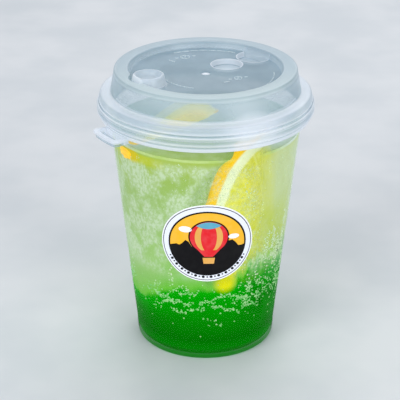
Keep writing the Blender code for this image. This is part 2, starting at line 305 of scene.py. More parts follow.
def makeCup():
    footCorner = cup["footRadius"] - cup["foot"]
    ringInside = footCorner - cup["ring"]
    recess = cup["recess"]
    pad = cup["gatePad"]
    floorTop = cup["floor"] + recess
    rim = cup["rim"]
    corners = [
        (0.0, 0.0, 0),
        (pad, 0.0, 0.3 * mm),
        (pad + recess, recess, 0.3 * mm),
        (ringInside - recess, recess, 0.3 * mm),
        (ringInside, 0.0, 0.3 * mm),
        (outerWall(0.0), 0.0, cup["foot"]),
        (outerWall(cupTop - 2 * rim), cupTop - 2 * rim, 0.4 * mm),
        (cup["rimRadius"], cupTop - 1.6 * rim, 0.9 * mm),
        (cup["rimRadius"], cupTop, 1.2 * mm),
        (innerWall(cupTop), cupTop, 0.5 * mm),
        (innerWall(floorTop), floorTop, cup["corner"]),
        (0.0, floorTop, 0),
    ]
    piece = keep(turn(corners, cup["steps"]), "clear_cup", clearPlastic())
    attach(piece, "root")
    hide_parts("cup")
    print("cup done")


# Drink: a dense syrup, and over it a lemonade with a hazy outer body and a dense heart

drink = {
    "top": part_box("lemonade")[1].z - 0.8 * mm,
    "border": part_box("syrup")[1].z + 0.3 * mm,
    "meniscus": 0.8 * mm,
    "intoWall": 0.55 * mm,
    "heartDepth": 1.4 * mm,
    "steps": 144,
    "rampTop": 101.0,  # lengths from here on are in millimetres, as the materials read them
    "ramp": (
        (0.02, (4, 140, 6)),
        (0.06, (2, 124, 4)),
        (0.10, (1, 108, 1)),
        (0.20, (3, 128, 2)),
        (0.32, (0, 152, 1)),
        (0.357, (8, 160, 4)),
        (0.380, (104, 186, 60)),
        (0.44, (134, 190, 98)),
        (0.57, (154, 195, 114)),
        (0.76, (150, 184, 106)),
        (0.90, (150, 180, 92)),
        (1.0, (162, 184, 88)),
    ),
    "borderSway": 38.0,  # how far the border wanders, rises on the right and dips on the left
    "borderRise": 9.0,
    "borderDip": 12.0,
    "fizzColour": (198, 214, 188),
    "mistColours": ((184, 196, 70), (208, 212, 96), (196, 208, 156)),  # low, over the slice, at the side
    "mistShare": 0.85,
    "limeColour": (170, 190, 40),
    "streakColour": (184, 192, 14),
    "endPlace": (-31.5, -25.0, 147.5),  # the left slice's end, its height taken 1.5 times
    "endColour": (212, 190, 8),
    "patchPlace": (8.5, -34.0, 40.5),  # the low end of the right slice
    "patchColour": (228, 220, 8),
    "surfaceColours": ((166, 190, 108), (190, 206, 152)),
    "foamColour": (192, 206, 206),
    "foamGap": (-3.0, -21.0, 0.0),  # no foam round this place
    "surfaceBand": (100.2, 100.7),
    # painted glow: the drink gives off light of its own, its bare surface more, to lift it out of the shade
    # of the cup and lid
    "glow": 0.20,
    "surfaceGlow": 0.16,
    "windowMiddle": (26.5, 67.5),  # along X and Z
    "windowHalf": (33.5, 38.0),
}


def drinkShade(finish):
    # colour by height, with a ragged border on the right, drifts of fizz, mist and the bare surface, and a
    # painted glow that is stronger on the bare surface in the shade of the lid
    plain = finish.point()
    height = finish.axis(plain, "Z")
    side = finish.axis(plain, "X")
    wisps = finish.cloud(finish.point((1.0, 1.0, 0.28)), 5.0, 4.0, 0.6)
    ripples = finish.cloud(plain, 11.0, 2.0)
    right = side.rise(7.0, 23.0)
    left = (1 - side.rise(-33.0, -10.0)) * (1 - finish.axis(plain, "Y").rise(-8.0, 18.0))
    lift = right * ((wisps - 0.5) * drink["borderSway"] + drink["borderRise"])
    lift = lift + (ripples - 0.5) * 5.0 + (wisps - 0.5) * 6.0 - left * drink["borderDip"]
    level = (height - lift * height.rise(16.0, 28.0) * (1 - height.rise(62.0, 84.0))) / drink["rampTop"]
    stops = [(share, tint(*colour)) for share, colour in drink["ramp"]]
    colour = finish.node("ValToRGB", {"stops": stops}, {"Fac": level})
    upper = height.rise(39.0, 50.0)
    drifts = finish.cloud(finish.point((1.0, 1.0, 0.9)), 11.0, 4.0, 0.66).rise(0.37, 0.56)
    specks = finish.cloud(finish.point((1.0, 1.0, 0.8)), 1.3, 2.0, 0.6).rise(0.38, 0.62)
    fizzy = drifts * (specks * 0.6 + 0.4) * upper * (1 - height.rise(96.5, 100.0))
    mist = side.rise(18.0, 30.0) * height.rise(42.0, 60.0)
    lowMist, sliceMist, sideMist = [tint(*colour) for colour in drink["mistColours"]]
    veil = finish.blend(side.rise(24.0, 32.0), sliceMist, sideMist)
    veil = finish.blend(height.rise(64.0, 82.0), lowMist, veil)
    pale = finish.blend(mist * drink["mistShare"], colour, veil)
    behind = finish.axis(plain, "Y").rise(-22.0, -6.0)
    fizzShare = fizzy * (0.8 - mist * 0.6 * (1 - behind))  # less of it in the mist of the front
    pale = finish.blend(fizzShare, pale, tint(*drink["fizzColour"]))
    lime = (1 - side.rise(-34.0, -12.0)) * height.rise(80.0, 96.0) * 0.5
    pale = finish.blend(lime * (1 - drifts), pale, tint(*drink["limeColour"]))
    streak = height.rise(94.0, 97.0) * (1 - height.rise(99.0, 100.5)) * (1 - side.rise(-30.0, -12.0))
    pale = finish.blend(streak * wisps.rise(0.3, 0.52) * 0.9, pale, tint(*drink["streakColour"]))
    tip = finish.near(finish.point((1.0, 1.0, 1.5)), drink["endPlace"], 2.5, 7.0)
    pale = finish.blend(tip * wisps.rise(0.2, 0.5), pale, tint(*drink["endColour"]))
    patch = finish.near(plain, drink["patchPlace"], 2.0, 6.5)
    pale = finish.blend(patch * 0.92, pale, tint(*drink["patchColour"]))
    froth = finish.cloud(plain, 5.0, 3.0).rise(0.35, 0.65) * 0.4
    still, frothy = [tint(*colour) for colour in drink["surfaceColours"]]
    surface = finish.blend(froth, still, frothy)
    middle = finish.near(finish.point((1.0, 1.0, 0.0)), drink["foamGap"], 11.0, 26.0)
    foam = finish.axis(plain, "Y").rise(-33.0, -18.0) * (1 - middle)
    surface = finish.blend(foam * 0.9, surface, tint(*drink["foamColour"]))
    bare = height.rise(*drink["surfaceBand"])
    pale = finish.blend(bare, pale, surface)
    # painted glow, stronger on the bare surface, which lies in the shade of the lid
    strength = bare * drink["surfaceGlow"] + drink["glow"]
    glow = finish.node("VectorMath", {"operation": "SCALE"}, {0: pale, "Scale": strength})
    green = 1 - level.rise(0.37, 0.47)
    return plain, pale, glow, green, fizzy, mist


def clearWindow(finish, plain):
    # 1 in front of the right slice, where the outer millimetres are clear
    x = (finish.axis(plain, "X") - drink["windowMiddle"][0]) / drink["windowHalf"][0]
    z = (finish.axis(plain, "Z") - drink["windowMiddle"][1]) / drink["windowHalf"][1]
    disc = 1 - ((x * x + z * z) ** 0.5).rise(0.94, 1.12)
    front = 1 - finish.axis(plain, "Y").rise(-6.0, 12.0)
    return disc * front


def hazyDrink(name):
    # the outer millimetres of the drink: clear in front of the right slice, cloudy elsewhere
    finish = Finish(name)
    plain, colour, glow, green, fizzy, mist = drinkShade(finish)
    cover = (1 - clearWindow(finish, plain)) * 0.95
    share = cover.most(green * 0.92).most(fizzy * 0.36 + 0.08).most(mist * 0.88)
    see = finish.node("BsdfTransparent", sockets={"Color": (0.98, 1.0, 0.95)})
    body = finish.principled(
        Base_Color=colour, Roughness=0.5, Specular_IOR_Level=0.05,
        Emission_Color=glow, Emission_Strength=1.0,
    )
    return finish.close(finish.layer(share, see, body))


def denseDrink(name):
    finish = Finish(name)
    colour, glow = drinkShade(finish)[1:3]
    body = finish.principled(
        Base_Color=colour, Roughness=0.5, Specular_IOR_Level=0.0,
        Emission_Color=glow, Emission_Strength=1.0,
    )
    return finish.close(body)


def makeDrink():
    floorTop = cup["floor"] + cup["recess"]
    into = drink["intoWall"]
    top = drink["top"]
    border = drink["border"]
    syrup = turn([
        (0.0, floorTop - into, 0),
        (innerWall(floorTop) + into, floorTop - into, cup["corner"]),
        (innerWall(border) + into, border, 0),
        (0.0, border, 0),
    ], drink["steps"])
    piece = keep(syrup, "syrup_layer", denseDrink("denseSyrup"))
    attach(piece, "root")
    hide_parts("syrup")

    wall = innerWall(top) + into
    lemonade = turn([
        (0.0, border, 0),
        (innerWall(border) + into, border, 0),
        (wall, top + drink["meniscus"], 0.1 * mm),
        (wall - 0.9 * mm, top + 0.3 * drink["meniscus"], 0.4 * mm),
        (wall - 2.6 * mm, top, 0.5 * mm),
        (0.0, top, 0),
    ], drink["steps"])
    piece = keep(lemonade, "lemonade_haze", hazyDrink("hazyLemonade"))
    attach(piece, "root")
    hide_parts("lemonade")

    piece = keep(makeHeart(), "lemonade_heart", denseDrink("denseLemonade"))
    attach(piece, "root")
    print("drink done")


def makeHeart():
    # the dense middle of the lemonade: close to the wall, but behind the right slice
    low = drink["border"]
    high = drink["top"] - 0.5 * mm
    skin = drink["heartDepth"]
    bm = turn([
        (0.0, low, 0),
        (innerWall(low) - 0.1 * mm, low, 0),
        (innerWall(high) - skin, high, 0),
        (0.0, high, 0),
    ], drink["steps"])
    for height in range(int(low / mm) + 2, int(high / mm), 2):
        geometry = bm.verts[:] + bm.edges[:] + bm.faces[:]
        cut = (0, 0, height * mm)
        bmesh.ops.bisect_plane(bm, geom=geometry, plane_co=cut, plane_no=upward, dist=1e-6)
    spec = rightSlice
    outward = Vector((math.cos(spec["facing"]), math.sin(spec["facing"])))
    sideways = Vector((-outward.y, outward.x))
    for vert in bm.verts:
        flat = vert.co.xy
        if flat.length < 1 * mm:
            continue
        ray = flat.normalized()
        rise = vert.co.z - spec["height"]
        centre = spec["out"] - spec["bend"] + math.tan(spec["lean"]) * rise
        along = centre * ray.dot(outward)
        bent = along + math.sqrt(spec["bend"] ** 2 - centre ** 2 + along ** 2)
        onSlice = ray * bent
        across = math.atan2(onSlice.dot(sideways), onSlice.dot(outward) - centre) * spec["bend"]
        across -= bow(spec, across, rise)
        outside = math.hypot(across, rise) - spec["radius"]
        share = max(0.0, min(1.0, (outside + 0.5 * mm) / (4 * mm)))
        reach = innerWall(vert.co.z) - skin * min(1.0, (vert.co.z - low) / (3 * mm) + 0.1)
        reach = min(reach, bent + (reach - bent) * share ** 2 * (3 - 2 * share))
        vert.co.xy = ray * min(flat.length, reach)
    return bm


# Citrus slices, modelled flat and then bent to their places

rightSlice = {
    "name": "orange_slice_right",
    "node": "slice_right",
    "radius": 35.3 * mm,
    "bend": 44.0 * mm,
    "facing": math.radians(-26.0),
    "out": 26.2 * mm,
    "sideways": 0.0,
    "height": 67.5 * mm,
    "lean": math.radians(-4.0),
    "turned": 0.3,
    "bow": 1.0,
    "splay": 0.0,
    "shift": 0.0,
    "peelColour": (255, 192, 0),
    "pithColour": (238, 236, 214),
}
leftSlice = {
    "name": "orange_slice_left",
    "node": "slice_left",
    "radius": 30.0 * mm,
    "bend": 150.0 * mm,
    "facing": math.radians(-42.0),
    "out": -10.0 * mm,
    "sideways": -5.0 * mm,
    "height": 83.0 * mm,
    "lean": math.radians(12.0),
    "turned": 1.1,
    "bow": 0.0,
    "splay": 13.0 * mm,
    "shift": 4.0 * mm,
    "peelColour": (228, 178, 0),
    "pithColour": (250, 240, 176),
}
citrus = {
    "thickness": 5.0 * mm,
    "peel": 3.2 * mm,
    "pith": 4.0 * mm,
    "core": 2.6 * mm,
    "segments": 9,
    "swell": 0.5 * mm,
    "steps": 144,
    "rings": (0.16, 0.24, 0.34, 0.45, 0.56, 0.67, 0.78, 0.88, 0.95),  # shares of the flesh's reach
    "dent": (1.7 * mm, 13 * mm, 9 * mm),  # depth, place along Y and spread
    "bulge": (3.0 * mm, 35 * mm, 8 * mm),
    "splayPlace": (15 * mm, 4.2 * mm),  # place along Y and spread
    "splayReach": (12 * mm, 14 * mm),  # from here to the left it grows, over this length
    "splaySwell": 0.9,
    "shiftReach": (97 * mm, 8 * mm),  # from this height up, over this length
    "pastDrink": 0.12 * mm,
    "juiceColours": ((222, 212, 78), (232, 222, 120)),
    "deepColour": (202, 198, 34),
    "membraneColour": (240, 240, 176),
    "coreColour": (243, 241, 190),
    "stainedPith": (236, 226, 40),
    "stainedPeel": (238, 226, 16),
    "poreColour": (250, 196, 0),
    "airColours": ((255, 226, 70), (228, 224, 128), (200, 212, 186)),  # flesh, pith and rim over the drink
    "airBand": (100.3, 102.5),
    # painted glow: the slices give off light of their own, to make up for the light that the drink, cup and
    # lid hold back
    "glow": 0.45,
}


def bow(spec, x, y):
    # how much a slice's left edge departs from a circle: in at the middle, out at the top
    share = spec["bow"] * max(0.0, min(1.0, -x / (10 * mm)))
    dent, bulge = [
        size * math.exp(-((y - place) / spread) ** 2)
        for size, place, spread in (citrus["dent"], citrus["bulge"])
    ]
    return share * (dent - bulge)


def placeOnCurve(point, spec):
    angle = point.x / spec["bend"]
    reach = spec["bend"] + point.z
    out = spec["out"] + reach * math.cos(angle) - spec["bend"] + math.tan(spec["lean"]) * point.y
    across = reach * math.sin(angle) + spec["sideways"]
    outward = Vector((math.cos(spec["facing"]), math.sin(spec["facing"]), 0.0))
    sideways = Vector((-outward.y, outward.x, 0.0))
    return outward * out + sideways * across + Vector((0.0, 0.0, spec["height"] + point.y))


def citrusFlesh(spec):
    # peel, pith, membranes and juice sacs, laid out on the flat slice's own map
    finish = Finish(spec["name"] + "_fruit")
    flat = finish.node("UVMap", {"uv_map": "flat"})
    size = finish.node("VectorMath", {"operation": "SCALE"}, {0: flat, "Scale": 100.0})
    x = finish.axis(size, "X")
    y = finish.axis(size, "Y")
    reach = (x * x + y * y) ** 0.5
    full = spec["radius"] / mm
    fleshEnd = full - (citrus["peel"] + citrus["pith"]) / mm
    wobble = finish.cloud(size, 6.0, 2.0) - 0.5
    angle = finish.node("Math", {"operation": "ARCTAN2"}, {0: y, 1: x})
    turnShare = (angle + spec["turned"]) / math.tau
    wedge = (turnShare * citrus["segments"] + 20.0).calc("FRACT")
    fromEdge = (0.5 - (wedge - 0.5).calc("ABSOLUTE")) * reach * (math.tau / citrus["segments"])
    membrane = 1 - (fromEdge + wobble * 0.5).rise(0.1, 1.1)
    sacs = finish.node("TexVoronoi", {"feature": "F1"}, {"Vector": size, "Scale": 0.55}, output="Distance")
    height = finish.axis(finish.point(), "Z")
    darkJuice, brightJuice = [tint(*colour) for colour in citrus["juiceColours"]]
    juice = finish.blend(sacs.rise(0.2, 0.9), darkJuice, brightJuice)
    deep = (finish.cloud(size, 9.0, 3.0).rise(0.4, 0.7) * 0.5).most((1 - height.rise(60.0, 80.0)) * 0.45)
    juice = finish.blend(deep, juice, tint(*citrus["deepColour"]))
    flesh = finish.blend(membrane * 0.3, juice, tint(*citrus["membraneColour"]))
    core = 1 - reach.rise(1.6, 3.2)
    flesh = finish.blend(core * 0.4, flesh, tint(*citrus["coreColour"]))
    toPith = (reach + wobble * 2.4).rise(fleshEnd - 1.4, fleshEnd + 0.6)
    stained = 1 - y.rise(-26.0, -14.0)  # the low end has taken up the colour of the juice
    pith = finish.blend(stained, tint(*spec["pithColour"]), tint(*citrus["stainedPith"]))
    withPith = finish.blend(toPith, flesh, pith)
    peelStart = full - citrus["peel"] / mm
    toPeel = (reach + wobble * 0.8).rise(peelStart - 0.8, peelStart + 0.4)
    pores = finish.cloud(size, 1.2, 2.0).rise(0.35, 0.7)
    rind = finish.blend(pores, tint(*citrus["poreColour"]), tint(*spec["peelColour"]))
    rind = finish.blend(stained * 0.8, rind, tint(*citrus["stainedPeel"]))
    colour = finish.blend(toPeel, withPith, rind)
    dryFlesh, dryPith, dryRim = [tint(*shade) for shade in citrus["airColours"]]
    airy = finish.blend(reach.rise(full - 7.0, full - 1.5), dryFlesh, dryPith)
    airy = finish.blend(reach.rise(full - 2.4, full - 0.6), airy, dryRim)
    colour = finish.blend(height.rise(*citrus["airBand"]) * 0.9, colour, airy)
    relief = finish.bump(sacs + finish.cloud(size, 0.7, 2.0) * 0.5, 0.2 * mm, 0.4)
    # the emission is a painted glow in the slice's own colour
    body = finish.principled(
        Base_Color=colour, Roughness=0.4, Normal=relief, Specular_IOR_Level=0.15,
        Emission_Color=colour, Emission_Strength=citrus["glow"],
    )
    return finish.close(body)


def makeSlice(spec):
    half = citrus["thickness"] / 2
    full = spec["radius"]
    fleshEnd = full - citrus["peel"] - citrus["pith"]
    rings = [citrus["core"]] + [fleshEnd * share for share in citrus["rings"]]
    rings += [fleshEnd, fleshEnd + 0.5 * mm, full - citrus["peel"]]
    upper = [(0.0, half, 0)] + [(ring, half, 0) for ring in rings]
    lower = [(radius, -height, 0) for radius, height, _ in reversed(upper)]
    bm = turn(upper + [(full, half, 1.9 * mm), (full, -half, 1.9 * mm)] + lower, citrus["steps"])
    layer = bm.loops.layers.uv.new("flat")
    for face in bm.faces:
        for loop in face.loops:
            loop[layer].uv = (loop.vert.co.x * 10, loop.vert.co.y * 10)
    for vert in bm.verts:
        reach = vert.co.xy.length
        if citrus["core"] * 1.1 < reach < fleshEnd * 1.01:
            share = (math.atan2(vert.co.y, vert.co.x) + spec["turned"]) / math.tau * citrus["segments"] % 1
            fromEdge = (0.5 - abs(share - 0.5)) * reach * math.tau / citrus["segments"]
            fromRim = min(fleshEnd - reach, reach - citrus["core"])
            gap = max(0.0, min(fromEdge, fromRim))
            swell = citrus["swell"] * (1 - math.exp(-gap / (1.3 * mm))) - 0.35 * mm
            vert.co.z += math.copysign(swell - 0.1 * mm, vert.co.z)
        vert.co.z += noise.noise(vert.co * 180) * 0.15 * mm
    for vert in bm.verts:
        # the near end of the left slice splays out and is pressed flat against the wall
        place, spread = citrus["splayPlace"]
        rise = (vert.co.y - place) / spread
        start, length = citrus["splayReach"]
        pull = max(0.0, min(1.0, (-vert.co.x - start) / length)) * math.exp(-rise ** 2)
        vert.co.x += bow(spec, vert.co.x, vert.co.y) - spec["splay"] * pull
        if spec["splay"]:
            vert.co.z *= 1 + citrus["splaySwell"] * pull
        vert.co = placeOnCurve(vert.co.copy(), spec)
        start, length = citrus["shiftReach"]
        above = max(0.0, min(1.0, (vert.co.z - start) / length))
        vert.co.x -= spec["shift"] * above ** 2 * (3 - 2 * above)
        limit = innerWall(vert.co.z) + drink["intoWall"] + citrus["pastDrink"]
        flat = vert.co.xy
        if flat.length > limit:
            vert.co.xy = flat.normalized() * limit
    piece = keep(bm, spec["name"], citrusFlesh(spec))
    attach(piece, "root")
    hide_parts(spec["node"])


# Fizz: small bubbles that cling to the inside of the wall

fizz = {
    "seed": 7,
    "small": 0.14 * mm,
    "large": 0.42 * mm,
    "low": 10 * mm,
    "drifts": 150,
    "columns": 50,
    "chains": 26,
    "beads": 320,
    "driftHeights": (46 * mm, 99 * mm),
    "chainHeights": (22, 37),  # this line and the next in millimetres
    "beadSizes": (0.22, 0.6),
    "frontArc": 13.0,  # degrees
    "lowColours": ((112, 206, 108), (176, 226, 160)),  # over the syrup
    "highColours": ((196, 220, 168), (222, 236, 208)),
    "frontChains": (  # start angle, height, slope and number of beads in chains over the syrup's front
        (-131, 31.5, 0.0, 40), (-124, 29.0, 0.0, 46), (-112, 30.0, 0.0, 34), (-118, 26.5, -2.5, 26),
        (-104, 27.0, 0.0, 24), (-96, 30.5, 0.0, 30), (-86, 29.0, -3.5, 26), (-76, 26.5, -2.5, 24),
        (-70, 33.0, -2.0, 34), (-84, 33.5, 0.0, 26), (-95, 21.5, 0.0, 10), (-88, 18.5, 0.0, 8),
        (-62, 27.5, -2.0, 26), (-110, 34.5, 0.0, 22), (-139, 33.0, -1.5, 24), (-54, 31.0, -2.0, 30),
    ),
}


def bubbleSkin():
    finish = Finish("bubbleSkin")
    plain = finish.point()
    height = finish.axis(plain, "Z")
    specks = finish.cloud(plain, 1.5, 1.0)
    low, high = [
        finish.blend(specks.rise(0.3, 0.7), tint(*dark), tint(*bright))
        for dark, bright in (fizz["lowColours"], fizz["highColours"])
    ]
    colour = finish.blend(height.rise(32.0, 46.0), low, high)
    # painted glow: the bubbles give off a little light of their own
    return finish.close(finish.principled(
        Base_Color=colour, Roughness=0.25, Alpha=0.8, Specular_IOR_Level=0.3,
        Emission_Color=colour, Emission_Strength=0.15,
    ))


def addBubble(bm, angle, height, size):
    if fizz["low"] < height < drink["top"] - 1 * mm:
        place = Matrix.Translation(onWall(angle, height, drink["intoWall"] - 0.45 * size))
        bmesh.ops.create_icosphere(bm, subdivisions=1, radius=size, matrix=place)


def makeFizz():
    draw = random.Random(fizz["seed"])
    small = fizz["small"]
    large = fizz["large"]
    bm = bmesh.new()
    for _ in range(fizz["drifts"]):  # loose upright drifts in the lemonade
        angle = draw.uniform(0, math.tau)
        height = draw.uniform(*fizz["driftHeights"])
        for _ in range(draw.randint(4, 16)):
            around = angle + draw.gauss(0, 0.02)
            addBubble(bm, around, height + draw.gauss(0, 3.5 * mm), draw.uniform(small, large) * 0.8)
    for index in range(fizz["columns"]):  # crowded columns, most of them on the right of the border
        angle = math.radians(draw.uniform(-66, -14) if index % 3 else draw.uniform(-14, 294))
        height = draw.uniform(28, 60 if math.cos(angle) > 0.2 else 44) * mm
        tall = draw.uniform(2.0, 5.5) * mm
        for _ in range(draw.randint(10, 30)):
            around = angle + draw.gauss(0, 0.024)
            addBubble(bm, around, height + draw.gauss(0, tall), draw.uniform(small, large) * 1.6)
    for _ in range(fizz["chains"]):  # wavy chains round the border of the layers
        angle = draw.uniform(0, math.tau)
        height = draw.uniform(*fizz["chainHeights"]) * mm
        wave = draw.uniform(0, math.tau)
        for step in range(draw.randint(8, 34)):
            z = height + 1.6 * mm * math.sin(wave + 0.35 * step) + draw.gauss(0, 0.7 * mm)
            addBubble(bm, angle + step * 0.016 + draw.gauss(0, 0.008), z, draw.uniform(0.25, 0.58) * mm)
    for start, height, slope, count in fizz["frontChains"]:
        wave = draw.uniform(0, math.tau)
        for step in range(count):
            angle = math.radians(start + fizz["frontArc"] * draw.random())
            share = (math.degrees(angle) - start) / fizz["frontArc"]
            z = (height + slope * share + 0.7 * math.sin(wave + 5.0 * share) + draw.gauss(0, 0.45)) * mm
            addBubble(bm, angle, z, draw.uniform(0.26, 0.62) * mm)
    for _ in range(fizz["beads"]):  # single beads that thin out downwards
        z = 40 * mm - 26 * mm * abs(draw.gauss(0, 0.45))
        addBubble(bm, draw.uniform(0, math.tau), z, draw.uniform(*fizz["beadSizes"]) * mm)
    bmesh.ops.recalc_face_normals(bm, faces=bm.faces)
    piece = keep(bm, "wall_bubbles", bubbleSkin(), sharp=180)
    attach(piece, "root")
    print("bubbles done")


# Lid: a frosted dome with a sunk top, a snap skirt, a spout, two wells and a pull tab

lid = {
    "wall": 0.9 * mm,
    "top": 128.4 * mm,
    "floor": 125.2 * mm,
    "recessRadius": 33.5 * mm,
    "domeTop": 39.7 * mm,
    "domeFoot": 41.4 * mm,
    "shoulder": 118.1 * mm,
    "shoulderRadius": 46.3 * mm,
    "groove": 114.2 * mm,
    "grooveRadius": 46.0 * mm,
    "skirtRadius": 47.5 * mm,
    "skirtFoot": 109.3 * mm,
    "lipRadius": 45.8 * mm,
    "lipFoot": 107.2 * mm,
    "plugFoot": 110.6 * mm,
    "steps": 160,
    "wellSteps": 64,
    "whiteSpan": (105.0, 130.0),  # from here on in millimetres, as the material reads them
    # the whiteness by height paints highlights on the lip, the skirt's ridges, the bead and the dome's foot,
    # and shade lines in the grooves between them, as well as the whiter thick plastic
    "whiteness": (
        (107.0, 0.95), (108.7, 1.00), (109.1, 0.20), (109.9, 0.34), (110.5, 0.95), (111.2, 0.40),
        (112.3, 0.34), (112.7, 0.72), (113.1, 0.34), (113.4, 0.72), (113.8, 1.00), (114.2, 0.10),
        (114.6, 0.40), (115.1, 1.00), (115.6, 0.50), (117.6, 0.52), (118.2, 1.00), (118.9, 0.20),
        (121.0, 0.26), (124.6, 0.38), (127.2, 0.30), (128.0, 0.16), (129.6, 0.60),
    ),
    "plateEdge": (32.4, 33.2),
    "paintedLightPlace": (21.0, -41.0, 112.0),
    "whiteColour": (230, 235, 243),
    "wallColours": ((146, 172, 186), (158, 182, 195)),
    "sunkColours": ((98, 130, 148), (116, 146, 163)),
    "ringColours": ((170, 191, 194), (142, 167, 179)),  # front and back
}
spout = {
    "place": Vector((-24.3, -13.6, 0.0)) * mm,
    "topRadius": 6.6 * mm,
    "footRadius": 7.6 * mm,
    "bay": 8.3 * mm,
    "top": 129.7 * mm,
    "wall": 0.9 * mm,
    "dish": 3.1 * mm,
}
wells = {
    "middle": (Vector((9.3, 11.5, 0.0)) * mm, 6.7 * mm),
    "edge": (Vector((21.4, 21.4, 0.0)) * mm, 7.3 * mm),
}
wellDepth = 2.6 * mm
tab = {
    "direction": math.radians(215.0),
    "half": math.radians(10.2),
    "reach": 53.3 * mm,
    "root": 45.2 * mm,
    "corner": 4.2 * mm,
    "foot": 105.4 * mm,
    "flange": 107.3 * mm,
    "top": 108.4 * mm,
    "inset": 0.8 * mm,
    "edge": 0.3 * mm,
    "wall": 1.0 * mm,
}


def frostedPlastic():
    # frosted plastic: part see-through, whiter where it is thick or seen along its wall, with painted
    # highlights and shade lines in bands round the lip, skirt and shoulder
    finish = Finish("frostedPlastic")
    plain = finish.point()
    x = finish.axis(plain, "X")
    y = finish.axis(plain, "Y")
    height = finish.axis(plain, "Z")
    reach = (x * x + y * y) ** 0.5
    grain = finish.cloud(plain, 0.5, 2.0)
    mottle = finish.cloud(plain, 14.0, 3.0).rise(0.3, 0.7)
    low, high = lid["whiteSpan"]
    # painted highlights and shade lines in bands by height, over the white of the thick plastic
    stops = [((z - low) / (high - low), (value, value, value)) for z, value in lid["whiteness"]]
    litShadedThickBands = finish.node("ValToRGB", {"stops": stops}, {"Fac": (height - low) / (high - low)})
    # the sunk top, the flat ring round it with painted highlight lines on its two edges, and a painted glint
    # on the moulding gate in the middle
    outside = reach.rise(*lid["plateEdge"])
    plate = (1 - outside) * height.rise(121.0, 122.0) * (1 - height.rise(125.5, 125.9))
    crown = reach.rise(33.0, 33.8) * height.rise(125.9, 127.0)
    # painted highlight lines along the ring's inner and outer edges
    innerEdgeHighlight = reach.rise(33.3, 33.7) * (1 - reach.rise(34.2, 34.6)) * height.rise(127.2, 127.8)
    outerLine = reach.rise(38.4, 38.8) * (1 - reach.rise(39.4, 39.7)) * height.rise(127.0, 127.6)
    # painted glint on the moulding gate
    gateGlint = (1 - reach.rise(1.5, 2.4)) * height.rise(124.0, 125.0)
    # the floors, rims and insides of the two wells; the rims carry a painted highlight
    flat = finish.point((1.0, 1.0, 0.0))
    floors = 0.0
    rings = 0.0
    inWell = 0.0
    for place, radius in wells.values():
        middle = tuple(place / mm)
        wide = radius / mm
        floors = finish.near(flat, middle, wide - 0.6, wide - 0.1) + floors
        # painted highlight round each well's rim
        rings = finish.near(flat, middle, wide + 0.4, wide + 0.8) + rings
        rings = rings - finish.near(flat, middle, wide - 0.5, wide)
        inWell = finish.near(flat, middle, wide + 0.7, wide + 1.1) + inWell
    inWell = inWell * height.rise(121.4, 122.0) * (1 - height.rise(127.2, 127.6)) * outside
    floors = floors * plate
    rings = rings * plate
    spoutZone = finish.near(flat, tuple(spout["place"] / mm), 7.9, 8.4) * height.rise(124.8, 125.6)
    white = (litShadedThickBands * (1 - plate) + plate * 0.10).most(gateGlint).most(rings * 0.65).most(floors * 0.42)
    white = white.most(innerEdgeHighlight * 0.34).most(outerLine * 0.34).most(spoutZone * 0.6).most(inWell * 0.5)
    # painted light: a whiter, brighter patch on the front right of the skirt
    bright = finish.near(plain, lid["paintedLightPlace"], 5.0, 20.0)
    white = white.most(bright * 0.5) + bright * 0.3
    pocket = reach.rise(47.8, 48.4) * (1 - height.rise(106.5, 106.8))  # the tab's own floor
    white = white * (1 - pocket * 0.9)
    back = y.rise(-34.0, 12.0)
    base, sunk, ringTone = [
        finish.blend(factor, *(tint(*colour) for colour in lid[name]))
        for factor, name in ((mottle, "wallColours"), (mottle, "sunkColours"), (back, "ringColours"))
    ]
    under = finish.blend(plate * (1 - floors), finish.blend(crown, base, ringTone), sunk)
    colour = finish.blend(white.rise(0.0, 0.9), under, tint(*lid["whiteColour"]))
    relief = finish.bump(grain, 0.04 * mm, 0.3)
    # painted glow: the frosted plastic gives off a little light of its own colour
    body = finish.principled(
        Base_Color=colour, Roughness=0.55, Normal=relief, Specular_IOR_Level=0.2,
        Emission_Color=colour, Emission_Strength=0.12,
    )
    see = finish.node("BsdfTransparent", sockets={"Color": (0.93, 0.96, 0.98)})
    share = white * 0.42 + plate * 0.26 + crown * 0.36 + finish.edge() ** 3 * 0.30 + 0.16
    milky = finish.layer(share.least(0.95), see, body)
    return finish.close(finish.shine(milky, 0.32, 0.02, 0.35, Normal=relief))


